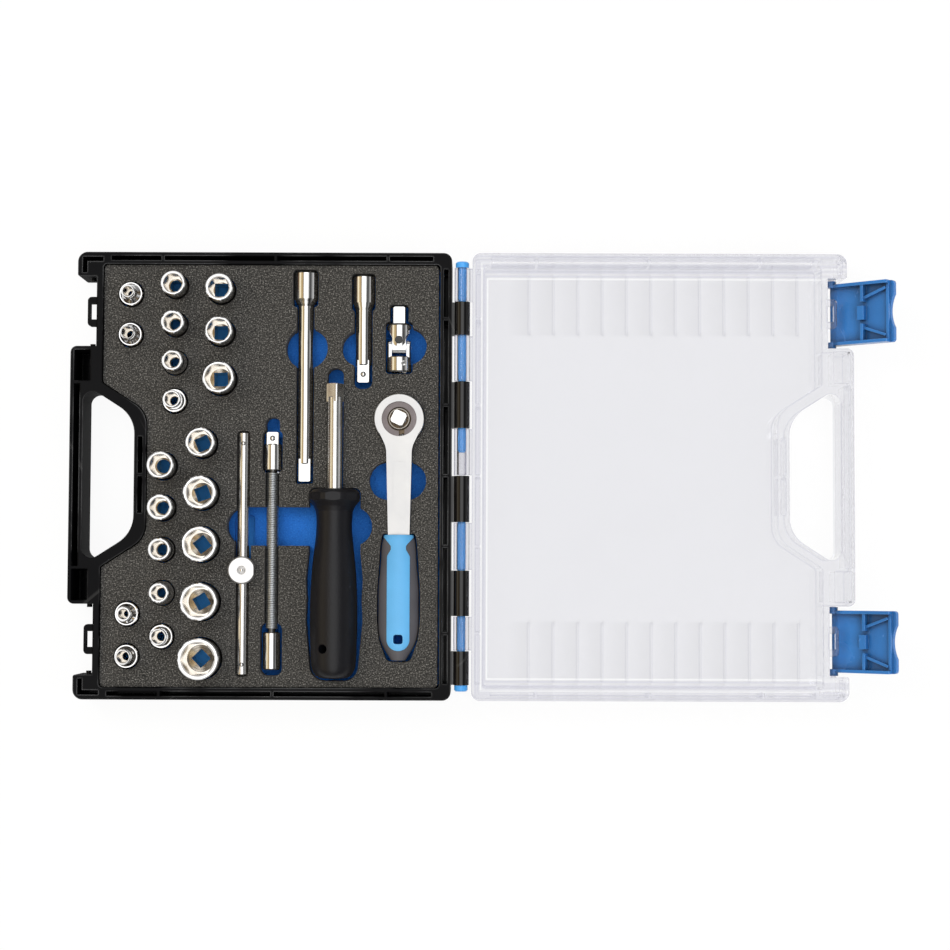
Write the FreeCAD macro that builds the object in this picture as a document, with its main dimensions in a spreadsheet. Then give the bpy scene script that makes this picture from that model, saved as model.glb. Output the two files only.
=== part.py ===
"""Socket wrench set lying in its open two-part case.

The case lies open and flat. The hinge axis runs along Y, the base tray lies on its -X side and the
clear lid on its +X side. The origin is in the middle of the base tray's underside, +Z is up and all
lengths are millimetres. Places in the case are given as a reach, the distance from the hinge axis
towards the carrying handle, and as an offset along Y from the middle of the case.
"""
import FreeCAD
import Part
import Sketcher
import math
import os

Vec = FreeCAD.Vector
DOC = FreeCAD.newDocument("socket_wrench_set")
SHEET = DOC.addObject("Spreadsheet::Sheet", "dim")

# Driving dimensions of the case, its foam and the tools.
LENGTHS = {
    # both halves of the case are one moulding
    "hinge_x": 93.0, "half_length": 105.0, "half_depth": 21.8, "hinge_height": 22.0, "floor": 2.0,
    "hinge_side": 4.8, "cavity_start": 10.2, "cavity_end": 169.0, "cavity_half": 99.4,
    "corner_end": 181.0, "handle_end": 184.0, "handle_start": 177.8, "bay_wall": 172.0,
    "bay_low": 60.5, "bay_high": 93.5, "recess_end": 148.0, "recess_half": 29.6, "recess_flare": 43.1,
    "opening_start": 153.6, "opening_narrow": 27.3, "opening_half": 42.8, "recess_slot": 18.0,
    "cell_start": 173.0, "groove_width": 2.2, "groove_floor": 6.0, "wall": 1.7, "rib": 1.4,
    "knuckle_radius": 3.65, "knuckle_gap": 0.36, "pin_radius": 1.9, "pin_head_radius": 3.15,
    "pin_head_length": 2.8, "pin_tip": 10.8, "knuckle_end": 97.8, "pin_play": 0.05,
    "flute_first": 31.9, "flute_pitch": 11.71, "flute_width": 1.0, "flute_depth": 0.4,
    "flute_low": 69.0, "flute_high": 97.0,
    # latch, its pivot stubs and the loop that its hook catches
    "pivot_reach": 174.9, "pivot_height": 14.0, "stub_radius": 1.25, "stub_length": 1.6,
    "loop_end": 176.6, "loop_low": 16.5, "loop_high": 19.5, "loop_half": 7.0, "loop_hole_half": 3.7,
    "loop_bar": 1.4, "latch_half": 14.5, "latch_end": 32.0, "latch_heel": 2.0, "latch_skin": 2.4,
    "latch_thick": 2.0, "latch_wall": 1.5, "latch_edge": 1.5, "ear_radius": 2.3, "ear_length": 1.6,
    "hook_near": 13.95, "hook_far": 17.5, "hook_half": 3.3, "hook_tip": 0.6, "cross_near": 16.0,
    "cross_gap": 5.2, "latch_open_angle": 40.0, "finger_radius": 17.0,
    # foam
    "foam_play": 0.3, "foam_mid": 10.0, "foam_top": 20.0, "pocket_play": 0.6, "seat": 10.3,
    "socket_well": 5.5, "socket_seat": 5.8, "foam_hinge_gap": 0.9, "snug_play": 0.3,
    "scoop_round": 9.9, "scoop_small": 7.8, "long_scoop_reach": 73.2, "short_scoop_reach": 48.1,
    "tool_scoop_at": 60.0, "joint_scoop_reach": 25.7, "joint_scoop_at": 61.2, "joint_scoop": 9.0,
    "ratchet_scoop": 9.0,
    "ratchet_scoop_low": 16.7, "ratchet_scoop_high": 43.5, "ratchet_scoop_at": -2.4,
    "shared_scoop": 9.15, "shared_scoop_low": 41.9, "shared_scoop_high": 110.2,
    "shared_scoop_at": -23.9, "lever_well": 6.3, "slider_well": 5.8,
    "short_scoop": 8.6,
    # sockets
    "socket_length": 25.0, "drive_body": 11.2, "drive_square": 6.35, "drive_depth": 9.0,
    "hex_depth": 11.0, "small_tip": 8.0, "shoulder": 2.0, "socket_chamfer": 0.5,
    # straight extensions
    "long_top": 96.3, "long_tip": -2.8, "long_reach": 73.9, "long_head_radius": 5.55,
    "long_shaft_radius": 3.6, "short_top": 94.6, "short_tip": 44.0, "short_reach": 46.6,
    "short_head_radius": 5.2, "short_shaft_radius": 3.8, "extension_head": 12.8,
    "extension_taper": 3.4, "male_square": 6.2, "male_edge": 0.45, "male_length": 8.6, "ball_radius": 1.3,
    # universal joint
    "joint_reach": 29.7, "joint_pin_at": 63.8, "joint_height": 17.2, "joint_radius": 5.7,
    "joint_body_far": 14.9, "joint_body_near": 7.6, "joint_offset": 3.0, "joint_disc_near": 4.8,
    "joint_disc_far": 8.0,
    "joint_tip": 15.9, "joint_arm_out": 5.6, "joint_arm_in": 3.5, "joint_arm_half": 3.1,
    "joint_block": 3.2, "joint_pin_radius": 1.1, "joint_pin_head": 1.9, "joint_recess": 8.0,
    # spinner handle
    "spinner_reach": 59.5, "spinner_tip": 43.0, "spinner_square": 6.5, "spinner_shank_radius": 3.5,
    "spinner_top": -6.4, "spinner_end": -94.6, "collar_radius": 12.2, "collar_flats": 11.7,
    "neck_radius": 8.3, "spinner_belly": 10.95, "spinner_turn": -33.0, "hang_hole": 2.2, "hang_at": -80.9,
    # ratchet
    "ratchet_reach": 29.4, "head_at": 26.6, "ratchet_height": 17.4, "head_radius": 11.85,
    "head_half": 5.5, "bore_radius": 8.2, "gear_radius": 7.3, "gear_low": -2.6, "gear_high": 2.2,
    "drive_collar": 5.2, "drive_top": 12.5, "ring_low": 3.4, "ring_high": 4.4, "ring_inner": 5.6,
    "shank_wide": 5.8, "shank_narrow": 5.05, "shank_half": 3.3, "shank_end": -27.75, "drive_turn": -25.0,
    "tang_half": 3.4, "tang_end": -68.0, "lever_radius": 6.4, "lever_shaft": 3.8, "lever_reach": 10.6,
    "lever_thick": 2.3, "grip_top": -26.2, "grip_end": -86.5, "panel_half": 5.35, "collar_half": 7.1,
    "panel_end": -82.0, "panel_rise": 0.35, "grip_hole_at": -76.6, "grip_hole": 4.4, "grip_half": 9.6,
    # sliding bar
    "bar_reach": 102.5, "bar_height": 17.6, "bar_top": 20.4, "bar_end": -93.8, "bar_radius": 2.8,
    "slider_at": -44.6, "slider_radius": 6.5, "slider_low": -4.6, "slider_high": 7.0,
    "slider_face": 2.7, "slider_neck": 6.8, "slider_neck_half": 5.5, "slider_flat": 5.6,
    "slider_tip": -11.2, "slider_travel": 21.0, "dimple_radius": 1.9,
    # flexible extension
    "flex_reach": 88.9, "flex_height": 16.7, "flex_top": 20.3, "ferrule_top": 14.9,
    "ferrule_end": 2.3, "flex_socket_top": -73.5, "flex_socket_end": -91.1, "flex_end_radius": 4.05,
    "winding_outer": 2.9, "wire": 1.1, "winding_pitch": 1.62, "bit_hex": 6.35,
}

# Hinge knuckle borders from the middle outwards; the halves own them by turns.
KNUCKLE_EDGES = (0.0, 22.0, 44.2, 65.8, 81.8, 97.8)

# Sockets: name, width across flats, mouth diameter, reach, offset, turn of the hexagon in degrees.
SOCKETS = (
    ("inch_5_32", 3.97, 6.5, 156.0, 85.2, 0), ("inch_3_16", 4.76, 6.8, 156.0, 66.0, 12),
    ("inch_5_16", 7.94, 11.4, 135.0, 89.1, 0), ("inch_9_32", 7.14, 10.8, 135.0, 70.9, 30),
    ("inch_1_4", 6.35, 9.7, 135.0, 52.9, 8), ("inch_7_32", 5.56, 8.5, 135.0, 34.8, 20),
    ("inch_11_32", 8.73, 12.8, 113.5, 87.2, 0), ("inch_3_8", 9.53, 12.8, 113.5, 67.1, 0),
    ("inch_7_16", 11.11, 14.8, 113.5, 45.1, 0), ("mm_10", 10.0, 13.6, 121.6, 14.8, 15),
    ("mm_11", 11.0, 15.5, 121.6, -8.6, 30), ("mm_12", 12.0, 16.4, 121.6, -32.6, 40),
    ("mm_13", 13.0, 17.4, 121.6, -59.3, 0), ("mm_14", 14.0, 19.1, 121.6, -85.8, 4),
    ("mm_9", 9.0, 12.5, 140.0, 4.1, 10), ("mm_8", 8.0, 11.8, 140.0, -15.5, 0),
    ("mm_7", 7.0, 10.4, 140.0, -35.1, 25), ("mm_6", 6.0, 9.2, 140.0, -55.3, 0),
    ("mm_5_5", 5.5, 8.1, 140.0, -75.6, 14), ("mm_5", 5.0, 7.4, 156.2, -84.9, 0),
    ("mm_4", 4.0, 7.0, 156.2, -65.1, 22),
)

# Turn of the square drive hole against the case in degrees, where it shows through the mouth.
SQUARE_TURNS = {"inch_7_16": 2, "mm_10": 23, "mm_11": 20, "mm_12": 38, "mm_13": 30, "mm_14": 44}


class Size:
    """A length with its present value and the sheet expression that drives it."""

    def __init__(self, value, text):
        self.value = float(value)
        self.text = text

    def __add__(self, other):
        other = size(other)
        return Size(self.value + other.value, "(%s + %s)" % (self.text, other.text))

    def __sub__(self, other):
        other = size(other)
        return Size(self.value - other.value, "(%s - %s)" % (self.text, other.text))

    def __mul__(self, other):
        other = size(other)
        return Size(self.value * other.value, "(%s * %s)" % (self.text, other.text))

    def __truediv__(self, other):
        other = size(other)
        return Size(self.value / other.value, "(%s / %s)" % (self.text, other.text))

    def __neg__(self):
        return Size(-self.value, "(0 - %s)" % self.text)

    def __radd__(self, other):
        return size(other) + self

    def __rsub__(self, other):
        return size(other) - self

    __rmul__ = __mul__


def size(amount):
    """A plain number or a Size, as a Size."""
    if isinstance(amount, Size):
        return amount
    return Size(amount, "(%r)" % float(amount))


class Sizes:
    """The sheet's cells by name."""


def fill_sheet():
    """Write every driving dimension into the sheet and return the cells by name."""
    cells = Sizes()
    lengths = dict(LENGTHS)
    for name, flats, mouth, reach, offset, _ in SOCKETS:
        lengths["flats_" + name] = flats
        lengths["mouth_" + name] = mouth
        lengths["reach_" + name] = reach
        lengths["offset_" + name] = offset
    for row, (name, length) in enumerate(lengths.items(), start=1):
        SHEET.set("A%d" % row, name)
        SHEET.set("B%d" % row, str(length))
        SHEET.setAlias("B%d" % row, name)
        setattr(cells, name, Size(length, "dim." + name))
    return cells


D = fill_sheet()
DOC.recompute()


def bind(obj, prop, amount):
    """Drive one property of an object from the sheet."""
    obj.setExpression(prop, size(amount).text)


def put(obj, x=0, y=0, z=0, turn=None):
    """Place an object, with its position driven from the sheet. turn is (axis, degrees)."""
    rotation = FreeCAD.Rotation()
    if turn:
        rotation = FreeCAD.Rotation(Vec(*turn[0]), turn[1])
    start = Vec(size(x).value, size(y).value, size(z).value)
    obj.Placement = FreeCAD.Placement(start, rotation)
    for prop, amount in (("x", x), ("y", y), ("z", z)):
        if isinstance(amount, Size):
            bind(obj, "Placement.Base." + prop, amount)
    return obj


X_AXIS = (1, 0, 0)
Y_AXIS = (0, 1, 0)
Z_AXIS = (0, 0, 1)
# Turns that lay something built along Z along another axis.
ALONG = {"z": None, "-z": (X_AXIS, 180), "y": (X_AXIS, -90), "-y": (X_AXIS, 90), "x": (Y_AXIS, 90)}


def box(wide, long, tall, x=0, y=0, z=0, turn=None):
    """A block centred on x and y, standing on z."""
    obj = DOC.addObject("Part::Box", "block")
    bind(obj, "Length", wide)
    bind(obj, "Width", long)
    bind(obj, "Height", tall)
    if turn:
        return put(obj, x, y, z, turn)
    return put(obj, size(x) - size(wide) / 2, size(y) - size(long) / 2, z)


def span(x0, x1, y0, y1, z0, z1):
    """A block between two corners."""
    obj = DOC.addObject("Part::Box", "block")
    bind(obj, "Length", size(x1) - x0)
    bind(obj, "Width", size(y1) - y0)
    bind(obj, "Height", size(z1) - z0)
    return put(obj, x0, y0, z0)


def rod(radius, length, x=0, y=0, z=0, along="z"):
    """A cylinder that starts at a point and runs along an axis."""
    obj = DOC.addObject("Part::Cylinder", "rod")
    bind(obj, "Radius", radius)
    bind(obj, "Height", length)
    return put(obj, x, y, z, ALONG[along])


def ball(radius, x, y, z):
    obj = DOC.addObject("Part::Sphere", "ball")
    bind(obj, "Radius", radius)
    return put(obj, x, y, z)


def polygon_bar(sides, flats, length, x=0, y=0, z=0, along="z", spin=0):
    """A regular bar by its width across flats, spun about its own axis."""
    obj = DOC.addObject("Part::Prism", "bar")
    obj.Polygon = sides
    bind(obj, "Circumradius", size(flats) * (0.5 / math.cos(math.pi / sides)))
    bind(obj, "Height", length)
    put(obj, x, y, z, ALONG[along])
    own = FreeCAD.Rotation(Vec(*Z_AXIS), spin)
    obj.Placement.Rotation = obj.Placement.Rotation.multiply(own)
    return obj


def square_bar(width, length, x=0, y=0, z=0, along="z", spin=0):
    """A square bar with its sides along the axes before it is spun."""
    return polygon_bar(4, width, length, x, y, z, along, 45 + spin)


def cut(solid, *tools):
    obj = DOC.addObject("Part::Cut", "cut")
    obj.Base = solid
    obj.Tool = tools[0] if len(tools) == 1 else fuse(*tools)
    return obj


def fuse(*solids):
    obj = DOC.addObject("Part::MultiFuse", "joined")
    obj.Shapes = list(solids)
    return obj


def common(first, second):
    obj = DOC.addObject("Part::Common", "shared")
    obj.Base = first
    obj.Tool = second
    return obj


def add_fixed_point(sketch, geometry, position, point):
    """Hold one sketch point at coordinates that the sheet drives."""
    for kind, amount in zip(("DistanceX", "DistanceY"), point):
        amount = size(amount)
        rule = Sketcher.Constraint(kind, -1, 1, geometry, position, amount.value)
        sketch.setExpression("Constraints[%d]" % sketch.addConstraint(rule), amount.text)


def corner_round(before, here, after, radius):
    """Touch points and centre of a rounding between two straight sides."""
    back = (before - here).normalize()
    on = (after - here).normalize()
    half = math.acos(max(-1.0, min(1.0, back.dot(on)))) / 2
    reach = radius / math.tan(half)
    centre = here + (back + on).normalize() * (radius / math.sin(half))
    return here + back * reach, here + on * reach, centre


def add_loop(sketch, points):
    """Add a closed outline. Each point is (x, y) or (x, y, radius) for a rounded corner."""
    here = [Vec(size(p[0]).value, size(p[1]).value, 0) for p in points]
    count = len(points)
    starts = []
    ends = []
    arcs = []
    for i, point in enumerate(points):
        if len(point) == 2:
            starts.append(here[i])
            ends.append(here[i])
            arcs.append(None)
            continue
        radius = size(point[2]).value
        first, last, centre = corner_round(here[i - 1], here[i], here[(i + 1) % count], radius)
        ends.append(first)
        starts.append(last)
        arcs.append((first, last, centre, radius))
    lines = []
    for i in range(count):
        line = Part.LineSegment(starts[i], ends[(i + 1) % count])
        lines.append(sketch.addGeometry(line, False))
    for i, point in enumerate(points):
        before = lines[i - 1]
        after = lines[i]
        if arcs[i] is None:
            sketch.addConstraint(Sketcher.Constraint("Coincident", before, 2, after, 1))
            add_fixed_point(sketch, after, 1, point[:2])
            continue
        first, last, centre, radius = arcs[i]
        turns_left = (first - centre).cross(last - centre).z > 0
        begin, finish = (first, last) if turns_left else (last, first)
        circle = Part.Circle(centre, Vec(0, 0, 1), radius)
        a0 = math.atan2(begin.y - centre.y, begin.x - centre.x)
        a1 = math.atan2(finish.y - centre.y, finish.x - centre.x)
        arc = sketch.addGeometry(Part.ArcOfCircle(circle, a0, a1), False)
        near, far = (1, 2) if turns_left else (2, 1)
        sketch.addConstraint(Sketcher.Constraint("Tangent", before, 2, arc, near))
        sketch.addConstraint(Sketcher.Constraint("Tangent", arc, far, after, 1))
        rule = Sketcher.Constraint("Radius", arc, radius)
        sketch.setExpression("Constraints[%d]" % sketch.addConstraint(rule), size(point[2]).text)
        corner = sketch.addGeometry(Part.Point(here[i]), True)
        sketch.addConstraint(Sketcher.Constraint("PointOnObject", corner, 1, before))
        sketch.addConstraint(Sketcher.Constraint("PointOnObject", corner, 1, after))
        add_fixed_point(sketch, corner, 1, point[:2])


def plate(points, low, high, *holes):
    """An outline raised along Z from low to high, with any holes through it."""
    sketch = DOC.addObject("Sketcher::SketchObject", "outline")
    for loop in (points,) + holes:
        add_loop(sketch, loop)
    put(sketch, 0, 0, low)
    obj = DOC.addObject("Part::Extrusion", "plate")
    obj.Base = sketch
    obj.DirMode = "Normal"
    obj.Solid = True
    obj.FaceMakerClass = "Part::FaceMakerBullseye"
    bind(obj, "LengthFwd", size(high) - low)
    return obj


def turned(profile, along="z"):
    """A round piece from a profile of (radius, distance along the axis) points."""
    sketch = DOC.addObject("Sketcher::SketchObject", "profile")
    if along == "z":
        put(sketch, turn=(X_AXIS, 90))
    add_loop(sketch, [(0, profile[0][1])] + list(profile) + [(0, profile[-1][1])])
    obj = DOC.addObject("Part::Revolution", "turned")
    obj.Source = sketch
    obj.Axis = Vec(*(Z_AXIS if along == "z" else Y_AXIS))
    obj.Angle = 360
    obj.Solid = True
    return obj


def rounded(x0, x1, y0, y1, radius):
    """A rectangle's four rounded corners."""
    return [(x0, y0, radius), (x1, y0, radius), (x1, y1, radius), (x0, y1, radius)]


def mirrored(half):
    """An outline that is alike on both sides of Y = 0, from its corners at positive Y."""
    other = [(p[0], -size(p[1])) + tuple(p[2:]) for p in reversed(half)]
    return list(half) + other


PARTS = {}


def piece(name, obj, x=0, y=0, z=0, turn=None):
    """Name a finished sub-part and put it in its place in the case."""
    obj.Label = name
    put(obj, x, y, z, turn)
    PARTS[name] = obj
    return obj


def shell_outline():
    """Outer edge of one case half, hinge axis at X = 0, handle at -X."""
    corner = (-D.corner_end, D.half_length, 4.6)
    return mirrored([
        (-D.hinge_side, D.half_length, 4), corner, (-D.corner_end, D.bay_high, 1),
        (-D.bay_wall, D.bay_high), (-D.bay_wall, D.bay_low), (-D.handle_end, D.bay_low, 3),
    ])


def cavity_outline(play=0, hinge_play=None):
    """Inside of one case half, drawn in by the play."""
    near = play if hinge_play is None else hinge_play
    return mirrored([
        (-D.cavity_start - near, D.cavity_half - play, 1.8),
        (-D.cavity_end + play, D.cavity_half - play, 1.8),
        (-D.cavity_end + play, D.recess_flare + play, 2),
        (-D.recess_end + play, D.recess_half + play, 12),
    ])


def opening_outline():
    """The hand's way through behind the carrying handle."""
    return mirrored([
        (-D.opening_start, D.opening_narrow, 15), (-D.handle_start, D.opening_half, 4.6),
    ])


def wall_grooves():
    """Slots that make the rim a double wall, left whole at the bridging ribs."""
    slots = []
    low = D.groove_floor
    high = D.half_depth + 1
    in_long = D.half_length - D.wall - D.groove_width
    ribs = (13.0, 35.0, 88.0, 141.0, 166.0)
    for near, far in zip(ribs, ribs[1:]):
        for side in (1, -1):
            edges = sorted((in_long * side, (in_long + D.groove_width) * side), key=lambda s: s.value)
            slots.append(span(-far + D.rib / 2, -near - D.rib / 2, edges[0], edges[1], low, high))
    stops = (-98.0, -73.8, -33.1, 0.0, 33.1, 73.8, 98.0)
    outer = -D.hinge_side - D.wall
    for near, far in zip(stops, stops[1:]):
        slots.append(span(outer - D.groove_width, outer, near + D.rib / 2, far - D.rib / 2, low, high))
    inner = -D.recess_end - D.wall
    half_rib = D.rib / 2
    for near, far in ((-D.recess_slot, -half_rib), (half_rib, D.recess_slot)):
        slots.append(span(inner - D.groove_width, inner, near, far, low, high))
    return slots


def handle_hollows():
    """The handle's channel, its end cells and the hollow corner blocks."""
    low = D.floor
    high = D.half_depth + 1
    outer = -D.handle_end + D.wall
    inner = -D.handle_start - D.wall
    cells = [span(outer, inner, -D.opening_half, D.opening_half, low, high)]
    for side in (1, -1):
        ends = sorted((D.opening_half * side + D.rib * side, D.bay_low * side - D.wall * side),
                      key=lambda s: s.value)
        cells.append(span(outer, -D.cell_start - D.wall, ends[0], ends[1], low, high))
        edge = D.half_length - D.wall * 1.3
        start = D.wall * 1.3 - D.corner_end
        ends = sorted((D.bay_high * side + D.wall * side, edge * side), key=lambda s: s.value)
        cells.append(span(start, start + D.groove_width, ends[0], ends[1], D.groove_floor, high))
        ends = sorted((edge * side - D.groove_width * side, edge * side), key=lambda s: s.value)
        cells.append(span(start, -D.cavity_end, ends[0], ends[1], D.groove_floor, high))
    return cells


def floor_flutes():
    """Two bands of shallow lines under the floor."""
    flutes = []
    for number in range(12):
        reach = D.flute_first + D.flute_pitch * number
        for side in (1, -1):
            middle = (D.flute_low + D.flute_high) * (0.5 * side)
            length = D.flute_high - D.flute_low
            flutes.append(box(D.flute_width, length, D.flute_depth * 2, -reach, middle,
                              -D.flute_depth))
    return flutes


def latch_bay(side):
    """A slotted loop on the bay wall and the two stubs that a latch turns on."""
    middle = (D.bay_low + D.bay_high) * (0.5 * side)
    tall = D.loop_high - D.loop_low
    loop = plate(rounded(-D.loop_end, 2 - D.bay_wall, middle - D.loop_half, middle + D.loop_half, 1.9),
                 D.loop_low, D.loop_high)
    hole_end = D.loop_end - D.loop_bar
    hole = box(hole_end - D.bay_wall - 0.3, D.loop_hole_half * 2, tall + 2,
               -(hole_end + D.bay_wall + 0.3) / 2, middle, D.loop_low - 1)
    solids = [cut(loop, hole)]
    ways = (("y", D.bay_low), ("-y", D.bay_high)) if side > 0 else (("-y", -D.bay_low), ("y", -D.bay_high))
    for along, start in ways:
        back = -0.5 if along == "y" else 0.5
        solids.append(rod(D.stub_radius, D.stub_length + 0.5, -D.pivot_reach, start + back,
                          D.pivot_height, along))
    return solids


def knuckles():
    """Hinge barrels of one half and the webs that carry them."""
    solids = []
    bores = []
    for number, (near, far) in enumerate(zip(KNUCKLE_EDGES, KNUCKLE_EDGES[1:])):
        side = 1 if number % 2 else -1
        low = min(near * side, far * side) + D.knuckle_gap / 2
        high = max(near * side, far * side) - D.knuckle_gap / 2
        solids.append(rod(D.knuckle_radius, high - low, 0, low, D.hinge_height, "y"))
        solids.append(span(-D.hinge_side - 1, 0, low, high, D.hinge_height - D.knuckle_radius,
                           D.half_depth))
    bores.append(rod(D.pin_radius + D.pin_play, D.half_length * 2, 0, -D.half_length,
                     D.hinge_height, "y"))
    return solids, bores


def case_half(name, turn):
    """One half of the case; the lid is the base turned half round about the hinge."""
    block = plate(shell_outline(), 0, D.half_depth, opening_outline())
    hollow = plate(cavity_outline(), D.floor, D.half_depth + 1)
    tray = cut(block, hollow, *wall_grooves(), *handle_hollows(), *floor_flutes())
    barrels, bores = knuckles()
    whole = fuse(tray, *barrels, *latch_bay(1), *latch_bay(-1))
    return piece(name, cut(whole, *bores), D.hinge_x, 0, 0, turn)


def hinge_pin(name, side):
    """A headed pin pushed in from one end of the hinge."""
    length = D.knuckle_end - D.pin_tip
    profile = [
        (D.pin_radius - 0.5, 0), (D.pin_radius, 1.0), (D.pin_radius, length),
        (D.pin_head_radius, length), (D.pin_head_radius, length + D.pin_head_length - 0.6),
        (D.pin_head_radius - 0.6, length + D.pin_head_length),
    ]
    turn = None if side > 0 else (X_AXIS, 180)
    piece(name, turned(profile, "y"), D.hinge_x, D.pin_tip * side, D.hinge_height, turn)


def latch(name, side):
    """A tray-shaped latch about its pivot: outwards is +X, its inner side faces up."""
    skin = -D.latch_skin
    back = skin - D.latch_thick
    half = D.latch_half
    sheet = plate(rounded(-D.latch_heel, D.latch_end, -half, half, 1.5), back, skin)
    solids = [sheet]
    ears = []
    for way in (1, -1):
        edges = sorted((half * way, (half - D.latch_wall) * way), key=lambda s: s.value)
        solids.append(span(-D.latch_heel, D.latch_end - 2, edges[0], edges[1], back, D.latch_edge))
        along = "y" if way > 0 else "-y"
        solids.append(rod(D.ear_radius, D.ear_length + D.latch_wall, 0, (half - D.latch_wall) * way, 0,
                          along))
        ears.append(rod(D.stub_radius + D.pin_play, D.ear_length + 1, 0,
                        (half + 0.3) * way, 0, along))
        edges = sorted((D.cross_gap * way, half * way), key=lambda s: s.value)
        solids.append(span(D.cross_near, D.cross_near + D.latch_wall, edges[0], edges[1], back,
                           D.latch_edge - 0.3))
        near = D.cross_near + 0.6
        inset = D.cross_gap + 0.9
        rib = [(near, inset), (near + 12.2, inset + 4.4), (near + 11.8, inset + 5.6), (near, inset + 1.4)]
        if way < 0:
            rib = [(at, -off) for at, off in reversed(rib)]
        solids.append(plate(rib, back, D.latch_edge - 1.6))
    solids.append(span(D.hook_near, D.hook_far, -D.hook_half, D.hook_half, back, D.hook_tip))
    solids.append(span(D.latch_end - 3.4, D.latch_end - 2, -half, half, back, skin + 1.6))
    finger = rod(D.finger_radius, 20, D.latch_end + D.finger_radius - 1.9, 0, -10)
    whole = cut(fuse(*solids), finger, *ears)
    middle = (D.bay_low + D.bay_high) * (0.5 * side)
    turn = (Y_AXIS, -D.latch_open_angle.value)
    piece(name, whole, D.hinge_x + D.pivot_reach, middle, D.pivot_height, turn)


def socket(name, flats, mouth, spin):
    """A socket standing on its drive end, mouth up, from its foot at Z = 0.

    The mouth has a lead-in cone and the hexagon ends on a drilled cone. In wide sockets the drive hole
    runs up to that cone as a square, in narrow ones a round hole joins them.
    """
    edge = D.socket_chamfer
    top = D.socket_length
    tip = mouth / 2
    if mouth.value < D.drive_body.value:
        foot = D.drive_body / 2
        rise = top - D.small_tip
        profile = [(foot - edge, 0), (foot, edge)]
        if tip.value < foot.value - 1.0:
            profile += [(foot, rise - 0.9), (foot - 0.35, rise - 0.5), (foot - 0.8, rise - 0.5),
                        (tip, rise + 1)]
        else:
            profile += [(foot, rise - D.shoulder), (tip, rise)]
        profile += [(tip, top - edge), (tip - edge, top)]
    else:
        profile = [(tip - edge, 0), (tip, edge), (tip, top - edge), (tip - edge, top)]
    outside = turned(profile)
    recess = polygon_bar(6, flats + 0.1, D.hex_depth + 1, 0, 0, top - D.hex_depth, "z", spin)
    wide = flats / 2 + 0.3
    thin = tip - edge - 0.12
    lead = wide if wide.value < thin.value else thin
    mouth_cone = turned([(lead - 1.9, top - 1.9), (lead + 0.5, top + 0.5)])
    floor = top - D.hex_depth
    drill = turned([(0.6, floor + 0.3 - flats * 0.25), (flats / 2, floor + 0.3)])
    turn = SQUARE_TURNS.get(name, 0)
    if mouth.value > 12.6:
        drive = [square_bar(D.drive_square + 0.1, floor + 1, 0, 0, -1, "z", turn)]
    else:
        drive = [square_bar(D.drive_square + 0.1, D.drive_depth + 1, 0, 0, -1, "z", turn),
                 rod(flats * 0.36, top, 0, 0, 1)]
    return cut(outside, recess, mouth_cone, drill, *drive)


def socket_room(name):
    """Radius of the pocket round a socket."""
    mouth = getattr(D, "mouth_" + name)
    wide = mouth if mouth.value > D.drive_body.value else D.drive_body
    return wide / 2 + D.pocket_play


def sockets():
    for name, *_, spin in SOCKETS:
        reach = getattr(D, "reach_" + name)
        offset = getattr(D, "offset_" + name)
        solid = socket(name, getattr(D, "flats_" + name), getattr(D, "mouth_" + name), spin)
        piece("socket_" + name, solid, D.hinge_x - reach, offset, D.socket_seat)


def over_edges():
    """Width of a square end across its bevelled edges."""
    return (D.male_square - D.male_edge) * math.sqrt(2)


def male_end(start, tip):
    """A square drive end along -Y from start down to tip, with a bevelled end."""
    bar = square_bar(D.male_square, start - tip + 2, 0, start + 2, 0, "-y")
    corners = square_bar(over_edges(), start - tip + 2, 0, start + 2, 0, "-y", 45)
    bevel = turned([(D.male_square * 0.6, tip), (D.male_square * 0.72, tip + 0.9),
                    (D.male_square * 0.72, start + 2)], "y")
    return common(common(bar, corners), bevel)


def ball_out():
    """How far a drive ball's middle lies from the axis of its square."""
    return D.male_square / 2 - D.ball_radius * 0.45


def ball_seat(at, way=1):
    """The hole that holds a drive ball, on the upper flat or (way -1) the lower one."""
    floor = D.male_square / 2 - D.ball_radius * 1.5
    return rod(D.ball_radius + 0.02, 4, 0, at, floor if way > 0 else -floor - 4)


def extension(name, top, tip, head, shaft, reach, way):
    """A straight extension along Y, square hole in its head and square end at its tip."""
    height = D.seat + head
    stem = tip + D.male_length
    neck = top - D.extension_head - D.extension_taper
    body = turned([(shaft - 0.5, stem - 0.5), (shaft, stem), (shaft, neck),
                   (head, top - D.extension_head), (head, top - 0.6), (head - 0.6, top)], "y")
    hole = square_bar(D.drive_square + 0.1, D.drive_depth + 1, 0, top + 1, 0, "-y")
    at = tip + D.male_length * 0.45
    whole = cut(fuse(body, male_end(stem, tip)), hole, ball_seat(at, way))
    piece(name, whole, D.hinge_x - reach, 0, height)
    piece(name + "_ball", ball(D.ball_radius, 0, 0, 0), D.hinge_x - reach, at, height + ball_out() * way)


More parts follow.
